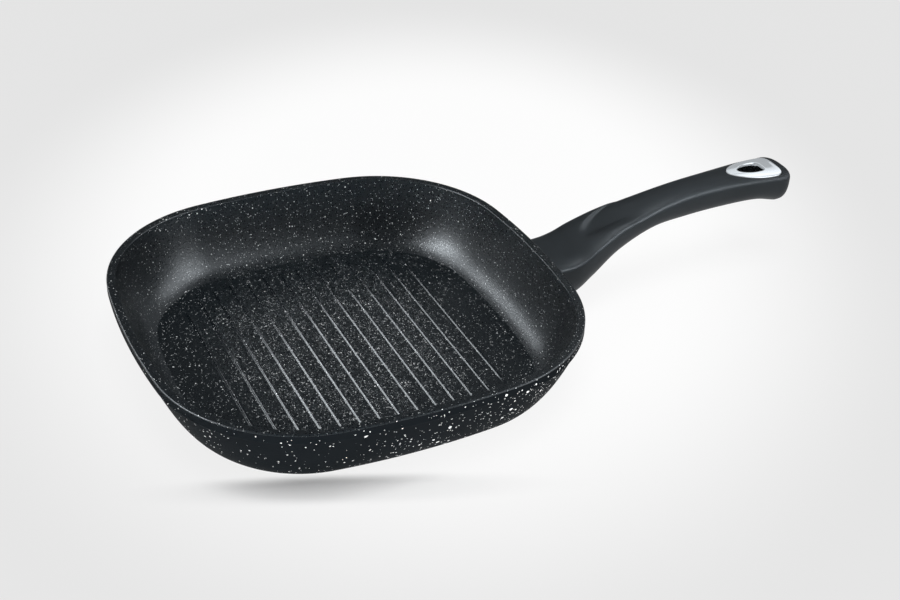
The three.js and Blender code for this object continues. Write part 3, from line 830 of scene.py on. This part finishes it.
def use_group(tree, group, place, **values):
    """A node group placed in a material with its own values; returns its outputs."""
    node = tree.nodes.new("ShaderNodeGroup")
    node.node_tree = group
    feed(tree, place, node.inputs["Vector"])
    for name, value in values.items():
        feed(tree, value, node.inputs[name])
    return node.outputs


def point_value(tree, name):
    """A number that the points of the mesh carry."""
    node = tree.nodes.new("ShaderNodeAttribute")
    node.attribute_name = name
    return node.outputs["Fac"]


def clouded(tree, place, colours, scale):
    """A colour that drifts between two with the noise."""
    cloud = use_group(tree, GRAIN, place, Scale=scale, Low=0.0, High=1.0)
    return mix_colour(tree, cloud["Value"], *colours)


def roughen(tree, shader, place, scale, low, high):
    """Roughness that drifts between two values with the noise; returns the noise as a height."""
    grain = use_group(tree, GRAIN, place, Scale=scale, Low=low, High=high)
    feed(tree, grain["Value"], shader.inputs["Roughness"])
    return grain["Height"]


def torn_places(tree, place, scale, amount):
    """Places shifted by noise, up to half an amount either way, which tears round flakes."""
    noise = tree.nodes.new("ShaderNodeTexNoise")
    noise.inputs["Scale"].default_value = scale
    feed(tree, place, noise.inputs["Vector"])
    shift = tree.nodes.new("ShaderNodeVectorMath")
    shift.operation = "MULTIPLY_ADD"
    shift.inputs[1].default_value = [amount] * 3
    shift.inputs[2].default_value = [-amount / 2] * 3
    feed(tree, noise.outputs["Color"], shift.inputs[0])
    moved = tree.nodes.new("ShaderNodeVectorMath")
    feed(tree, place, moved.inputs[0])
    feed(tree, shift.outputs["Vector"], moved.inputs[1])
    return moved.outputs["Vector"]


def add_bump(tree, shader, height, strength, distance):
    """Fine relief from a height."""
    bump = tree.nodes.new("ShaderNodeBump")
    bump.inputs["Strength"].default_value = strength
    bump.inputs["Distance"].default_value = distance
    feed(tree, height, bump.inputs["Height"])
    feed(tree, bump.outputs["Normal"], shader.inputs["Normal"])


def stone_coating():
    """Charcoal non-stick coating of the inside: fine grey mist, small pale specks and a few white spots,
    thinner on the walls than on the ribs, and smoother over the ribs."""
    material, tree, shader, place = new_finish("stone_coating")
    # Share of the flecks, lowest on the rim and walls and highest in the middle of the rib bed
    within = point_value(tree, "fleck_share")
    misted = map_range(tree, within, FOOT_FLECKING, 1.0, *MIST_SHARES, soft=False)
    specked = times(tree, within, SPECK_SHARE)
    spotted = times(tree, within, SPOT_SHARE)
    mist = use_group(tree, FLECKS, place, Scale=1500, Share=misted, Radius=0.42)
    specks = use_group(tree, FLECKS, place, Scale=1300, Share=specked, Radius=0.39)
    spots = use_group(tree, FLECKS, place, Scale=560, Share=spotted, Radius=0.27)
    colour = clouded(tree, place, COATING_COLOURS, CLOUD_SCALE)
    colour = mix_colour(tree, times(tree, mist["Fleck"], mist["Tone"]), colour, MIST_GREY)
    tone = map_range(tree, specks["Tone"], 0.0, 0.7, 0.15, 1.0, soft=False)
    colour = mix_colour(tree, times(tree, specks["Fleck"], tone), colour, SPECK_WHITE)
    colour = mix_colour(tree, spots["Fleck"], colour, SPOT_WHITE)
    feed(tree, colour, shader.inputs["Base Color"])
    peel = use_group(tree, GRAIN, place, Scale=1150, Low=0.20, High=0.46)
    on_rib = map_range(tree, point_value(tree, "ribbed"), 0.02, 0.2)
    sleek = math_node(tree, "SUBTRACT", peel["Value"], times(tree, on_rib, RIB_SLEEK))
    feed(tree, sleek, shader.inputs["Roughness"])
    shader.inputs["IOR"].default_value = 1.5
    left = math_node(tree, "SUBTRACT", 1.0, times(tree, on_rib, RIB_IRONED))
    add_bump(tree, shader, times(tree, peel["Height"], left), strength=0.5, distance=0.0002)
    return material


def stone_paint():
    """Matt paint of the outside, with larger and sparser white flakes, more of them towards the handle and
    none at the rim."""
    material, tree, shader, place = new_finish("stone_paint")
    spot = tree.nodes.new("ShaderNodeSeparateXYZ")
    feed(tree, place, spot.inputs[0])
    share = map_range(tree, spot.outputs["X"], *FLAKE_SPAN, *FLAKE_SHARES)
    below = map_range(tree, spot.outputs["Z"], *FLAKE_FADE, 1.0, FLAKE_NONE)
    share = times(tree, share, below)
    torn = torn_places(tree, place, scale=500, amount=0.0016)
    large = use_group(tree, FLECKS, torn, Scale=260, Share=times(tree, share, LARGE_SHARE), Radius=0.32)
    small = use_group(tree, FLECKS, torn, Scale=650, Share=share, Radius=0.33)
    colour = clouded(tree, place, PAINT_COLOURS, CLOUD_SCALE)
    tone = map_range(tree, small["Tone"], 0.0, 0.5, 0.3, 1.0, soft=False)
    colour = mix_colour(tree, times(tree, small["Fleck"], tone), colour, FLAKE_PALE)
    colour = mix_colour(tree, large["Fleck"], colour, FLAKE_WHITE)
    feed(tree, colour, shader.inputs["Base Color"])
    peel = roughen(tree, shader, place, scale=1100, low=0.5, high=0.6)
    shader.inputs["IOR"].default_value = 1.35
    shader.inputs["Specular IOR Level"].default_value = 0.018
    add_bump(tree, shader, peel, strength=0.3, distance=0.0002)
    return material


def soft_touch():
    """Dark matt moulding with a very fine texture."""
    material, tree, shader, place = new_finish("soft_touch_moulding")
    feed(tree, clouded(tree, place, MOULDING_COLOURS, 45), shader.inputs["Base Color"])
    skin = roughen(tree, shader, place, scale=2600, low=0.40, high=0.46)
    shader.inputs["IOR"].default_value = 1.45
    shader.inputs["Specular IOR Level"].default_value = 0.15
    add_bump(tree, shader, skin, strength=0.12, distance=0.0001)
    return material


def plating(name, colours, tint, haze, low, high):
    """Metal plating with a tint and a haze of given scales."""
    material, tree, shader, place = new_finish(name)
    feed(tree, clouded(tree, place, colours, tint), shader.inputs["Base Color"])
    roughen(tree, shader, place, haze, low, high)
    shader.inputs["Metallic"].default_value = 1
    return material


def turned_steel():
    """Steel with the fine rings of a facing tool."""
    material, tree, shader, place = new_finish("turned_steel")
    rings = tree.nodes.new("ShaderNodeTexWave")
    rings.wave_type = "RINGS"
    rings.rings_direction = "Z"
    rings.inputs["Scale"].default_value = 260
    rings.inputs["Distortion"].default_value = 0.6
    rings.inputs["Detail"].default_value = 2
    feed(tree, place, rings.inputs["Vector"])
    feed(tree, mix_colour(tree, rings.outputs["Fac"], *STEEL_COLOURS), shader.inputs["Base Color"])
    roughen(tree, shader, place, scale=90, low=0.26, high=0.4)
    shader.inputs["Metallic"].default_value = 1
    add_bump(tree, shader, rings.outputs["Fac"], strength=0.1, distance=0.0001)
    return material


# Assembly

zinc = plating("zinc_plate", ZINC_COLOURS, tint=420, haze=700, low=0.3, high=0.48)
paint = stone_paint()
bowl = cast_bowl()
dress(bowl, "pan_body", "coated_aluminium", stone_coating(), paint)
dress(handle_lug(), "pan_body", "coated_aluminium", paint)
grip = handle_grip()
dress(grip, "handle_grip", "soft_touch", soft_touch())
lining = hang_lining()
chrome = plating("bright_chrome", CHROME_COLOURS, tint=30, haze=120, low=0.05, high=0.11)
dress(lining, "hang_trim", "bright_chrome", chrome)
dress(punched_disc(), "induction_disc", "disc_steel", turned_steel())
for node in ("handle_screw", "lock_washer"):
    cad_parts[node].data.materials.clear()
    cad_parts[node].data.materials.append(zinc)


# Floor, light and camera, in metres

FLOOR_SIZE = 12.0
PAINTED_POOL_CENTRE = Vector((0.115, 0.12, 0))  # centre of the pool of light painted into the floor's colour, where it is palest
PAINTED_POOL_SIZE = Vector((0.382, 0.488, 1.0))  # half size of the painted pool of light, across and along the view
PAINTED_POOL_SPAN = (0.12, 0.57)  # part of the falloff over which the floor grows pale in the painted pool of light
# Floor colour in the middle of the painted pool of light and far from it
FLOOR_PALE = (0.99, 0.99, 0.99)
FLOOR_EDGE = (0.79, 0.79, 0.79)
FLOOR_ALBEDO = 0.95
FLOOR_SHINE = 0.9  # share of the floor's own white in what is seen of it
SHADE_SHINE = 0.1  # the same in the strip of shadow before the pan
SHADE_CENTRE = Vector((-0.0431, -0.1188, 0))
SHADE_SIZE = Vector((0.15, 0.0145, 1.0))
SHADE_TURN = math.radians(6)
SHADE_SPAN = (0.0, 0.6)
SKY_STRENGTH = 0.1
VIEW_FROM = Vector((-0.2677, -0.6725, 0.5078))
VIEW_AZIMUTH = math.radians(-26.71)
VIEW_DOWN = math.radians(32.87)
VIEW_ROLL = math.radians(2.38)
LENS = 58.08
SENSOR = 36
CARD_TINT = (0.89, 0.95, 1.0)
BOWL_CENTRE = Vector((0.05, 0.02, 0.02))
FRONT_CENTRE = Vector((-0.02, -0.10, 0.02))
ROOT_CENTRE = Vector((0.158, -0.02, 0.042))
GRIP_CENTRE = Vector((0.20, 0, 0.06))
HOLE_CENTRE = Vector((0.287, 0, 0.068))

# Lamps: name, centre, azimuth and elevation in degrees, distance, width, height, radiance, spread in degrees
FILLS = (
    ("overhead", BOWL_CENTRE, 60, 84, 2.4, 6.0, 6.0, 0.4, 180),
    ("key", BOWL_CENTRE, -112, 73, 4.8, 2.6, 2.6, 7.2, 180),
    ("front_fill", FRONT_CENTRE, -120, 4, 1.0, 0.8, 0.12, 115.0, 36),
)
COAT_CARDS = (
    ("card_left", BOWL_CENTRE, 158, 35, 1.6, 1.2, 1.0, 5.2, 180),
    ("card_left_core", BOWL_CENTRE, 171, 33, 1.6, 0.6, 0.7, 14.0, 180),
    ("card_right", BOWL_CENTRE, -18, 33, 1.8, 1.5, 1.0, 3.9, 180),
    ("card_right_core", BOWL_CENTRE, -44, 29, 1.8, 0.8, 1.2, 5.0, 180),
    ("card_rear", BOWL_CENTRE, 128, 22, 1.7, 0.4, 0.6, 8.5, 180),
)
SHARED_CARDS = (("card_trim", GRIP_CENTRE, 38, 43, 0.7, 0.42, 0.5, 0.95, 60),)
LINING_CARDS = (
    ("card_sky", HOLE_CENTRE, 60, 88, 1.3, 3.6, 3.6, 0.35, 180),
    *((f"card_round_{turn}", HOLE_CENTRE, 30 + 90 * turn, 17, 1.5, 2.8, 0.9, 0.4, 180) for turn in range(4)),
    ("card_mouth", HOLE_CENTRE, -50, 44, 0.6, 0.5, 0.5, 1.3, 180),
)
GRIP_CARDS = (
    ("card_shoulder", GRIP_CENTRE, -66, 48, 0.4, 0.2, 0.4, 42.0, 40),
    ("card_crease", ROOT_CENTRE, -74, 48, 0.4, 0.14, 0.3, 50.0, 24),
    ("card_thumb_rest", GRIP_CENTRE, 90, 77, 0.4, 0.16, 0.16, 30.0, 40),
)


def round_glow(tree, place, centre, size, turn=0.0):
    """Falls from 1 at a centre to 0 at the edge of an ellipse, which is turned to the view and by an angle
    from there."""
    shift = tree.nodes.new("ShaderNodeMapping")
    shift.vector_type = "TEXTURE"
    shift.inputs["Location"].default_value = centre
    shift.inputs["Rotation"].default_value = (0, 0, VIEW_AZIMUTH + turn)
    shift.inputs["Scale"].default_value = size
    glow = tree.nodes.new("ShaderNodeTexGradient")
    glow.gradient_type = "SPHERICAL"
    feed(tree, place, shift.inputs["Vector"])
    feed(tree, shift.outputs["Vector"], glow.inputs["Vector"])
    return glow.outputs["Fac"]


def pale_floor():
    """Matt floor, palest by the pan and greyer with the distance from there, a pool of light painted into its
    colour. Most of what is seen of it is its own white, which carries the same painted pool of light and
    softens the shadows on it, and least in the strip of shadow before the pan."""
    reach = FLOOR_SIZE / 2
    corners = [(-reach, -reach, 0), (reach, -reach, 0), (reach, reach, 0), (-reach, reach, 0)]
    mesh = bpy.data.meshes.new("floor")
    mesh.from_pydata(corners, [], [(0, 1, 2, 3)])
    floor = bpy.data.objects.new("floor", mesh)
    bpy.context.scene.collection.objects.link(floor)
    material, tree, shader, place = new_finish("pale_floor")
    # Painted pool of light in the floor's colour and its own white, palest by the pan
    pale = map_range(tree, round_glow(tree, place, PAINTED_POOL_CENTRE, PAINTED_POOL_SIZE), *PAINTED_POOL_SPAN)
    colour = mix_colour(tree, pale, FLOOR_EDGE, FLOOR_PALE)
    feed(tree, mix_colour(tree, FLOOR_ALBEDO, (0, 0, 0), colour), shader.inputs["Base Color"])
    shader.inputs["Roughness"].default_value = 1
    shader.inputs["Specular IOR Level"].default_value = 0
    white = tree.nodes.new("ShaderNodeEmission")
    feed(tree, colour, white.inputs["Color"])
    path = tree.nodes.new("ShaderNodeLightPath").outputs
    seen = math_node(tree, "MAXIMUM", path["Is Camera Ray"], path["Is Glossy Ray"])
    seen = math_node(tree, "MAXIMUM", seen, path["Is Transmission Ray"])
    shade = round_glow(tree, place, SHADE_CENTRE, SHADE_SIZE, SHADE_TURN)
    shine = map_range(tree, shade, *SHADE_SPAN, FLOOR_SHINE, SHADE_SHINE)
    blend = tree.nodes.new("ShaderNodeMixShader")
    feed(tree, times(tree, seen, shine), blend.inputs[0])
    feed(tree, shader.outputs["BSDF"], blend.inputs[1])
    feed(tree, white.outputs["Emission"], blend.inputs[2])
    feed(tree, blend.outputs["Shader"], tree.nodes["Material Output"].inputs["Surface"])
    mesh.materials.append(material)


def lit_pieces(name, *pieces):
    """Collection of the pieces that some lamps are kept to."""
    kept = bpy.data.collections.new(name)
    for piece in pieces:
        kept.objects.link(piece)
    return kept


def soft_lamps(rows, sheen=True, only=None):
    """Rectangular soft lamps, each seen from its centre at an azimuth and an elevation, and facing it. The
    power is pi times the area times the radiance, less what a grid that narrows the spread takes. Lamps
    either fill, or are cards that show only in the sheen of a surface. They light only the
    collection's pieces where one is given."""
    for name, centre, azimuth, elevation, distance, width, height, radiance, spread in rows:
        turned, raised = math.radians(azimuth), math.radians(elevation)
        level = math.cos(raised)
        way = Vector((math.cos(turned) * level, math.sin(turned) * level, math.sin(raised)))
        half = math.radians(spread) / 2
        data = bpy.data.lights.new(name, "AREA")
        data.shape = "RECTANGLE"
        data.size = width
        data.size_y = height
        data.spread = 2 * half
        data.energy = math.pi * width * height * radiance * (1 - half / math.tan(half))
        data.color = CARD_TINT if sheen else (1, 1, 1)
        lamp = bpy.data.objects.new(name, data)
        lamp.location = centre + way * distance
        lamp.rotation_euler = way.to_track_quat("Z", "Y").to_euler()
        lamp.visible_glossy = sheen
        lamp.visible_diffuse = not sheen
        lamp.visible_camera = False
        lamp.light_linking.receiver_collection = only
        bpy.context.scene.collection.objects.link(lamp)


def studio_world():
    """Faint even light from all sides."""
    world = bpy.data.worlds.new("studio")
    bpy.context.scene.world = world
    world.use_nodes = True
    sky = world.node_tree.nodes["Background"]
    sky.inputs["Color"].default_value = (1, 1, 1, 1)
    sky.inputs["Strength"].default_value = SKY_STRENGTH


def view_camera():
    """Camera from the azimuth, the downward tilt and the roll of the photograph's view."""
    ahead = Vector((-math.sin(VIEW_AZIMUTH), math.cos(VIEW_AZIMUTH), 0)) * math.cos(VIEW_DOWN)
    ahead.z = -math.sin(VIEW_DOWN)
    level = ahead.cross(Vector((0, 0, 1))).normalized()
    raised = level.cross(ahead)
    right = level * math.cos(VIEW_ROLL) + raised * math.sin(VIEW_ROLL)
    up = raised * math.cos(VIEW_ROLL) - level * math.sin(VIEW_ROLL)
    data = bpy.data.cameras.new("view")
    data.lens = LENS
    data.sensor_width = SENSOR
    camera = bpy.data.objects.new("view", data)
    turned = Matrix((right, up, -ahead)).transposed().to_4x4()
    camera.matrix_world = Matrix.Translation(VIEW_FROM) @ turned
    bpy.context.scene.collection.objects.link(camera)
    bpy.context.scene.camera = camera


pale_floor()
studio_world()
soft_lamps(FILLS, sheen=False)
soft_lamps(COAT_CARDS, only=lit_pieces("lit_coats", bowl, grip))
soft_lamps(SHARED_CARDS)
soft_lamps(LINING_CARDS, only=lit_pieces("lit_lining", lining))
soft_lamps(GRIP_CARDS, only=lit_pieces("lit_grip", grip))
view_camera()

bpy.context.scene.view_settings.view_transform = "Standard"
